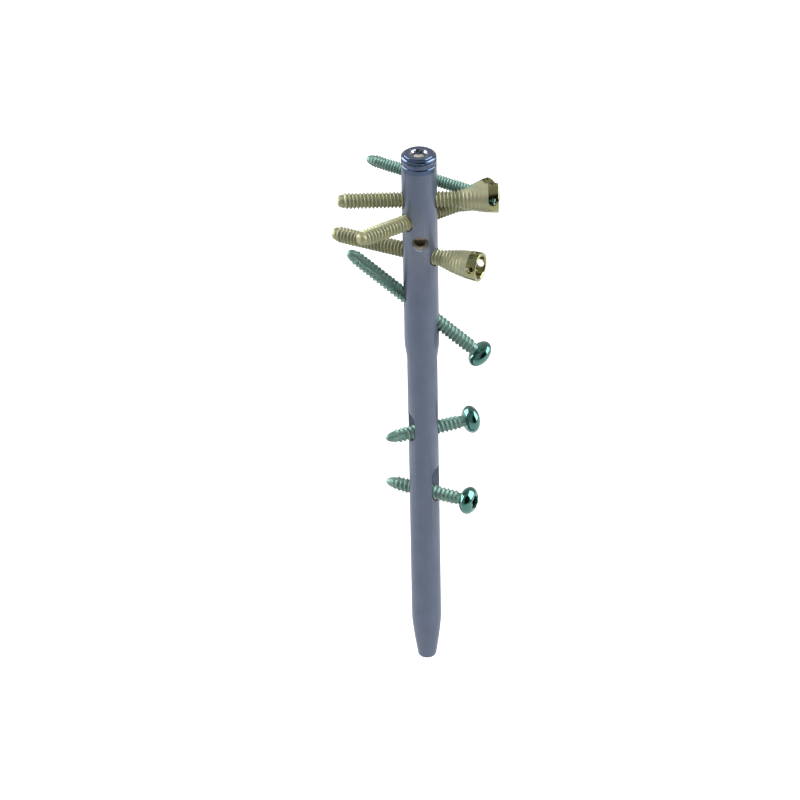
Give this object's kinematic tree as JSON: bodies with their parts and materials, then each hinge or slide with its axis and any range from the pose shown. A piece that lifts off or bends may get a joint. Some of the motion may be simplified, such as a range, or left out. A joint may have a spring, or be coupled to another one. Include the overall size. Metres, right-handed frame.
{
  "type": "intramedullary nail",
  "caption": "Straight cannulated nail for the upper arm bone, with a stepped shaft, tapered tip, flat end cap, trumpet-headed screws across the top and domed screws below.",
  "frame": {"origin": "centre of the flat top end of the nail, under the end cap", "axes": "+Z along the nail toward the end cap, +X outward on the side that the lateral screw enters, +Y toward the back of the arm"},
  "size_m": [0.0454, 0.0293, 0.1615],
  "materials": {
    "nail_metal": "slate blue anodised titanium alloy, satin",
    "inlay_polymer": "beige implant polymer, matt",
    "cap_metal": "dark blue anodised titanium alloy, polished",
    "gold_screw_metal": "olive gold anodised titanium alloy, semi-gloss",
    "teal_screw_metal": "teal anodised titanium alloy, semi-gloss"
  },
  "bodies": {
    "root": {"nail": "nail_metal", "locking_inlay": "inlay_polymer", "end_cap": "cap_metal", "lateral_screw": "gold_screw_metal", "anterolateral_screw": "gold_screw_metal", "posterolateral_screw": "gold_screw_metal", "secondary_screw": "teal_screw_metal", "calcar_screw": "teal_screw_metal", "upper_distal_screw": "teal_screw_metal", "lower_distal_screw": "teal_screw_metal"}
  },
  "joints": []
}
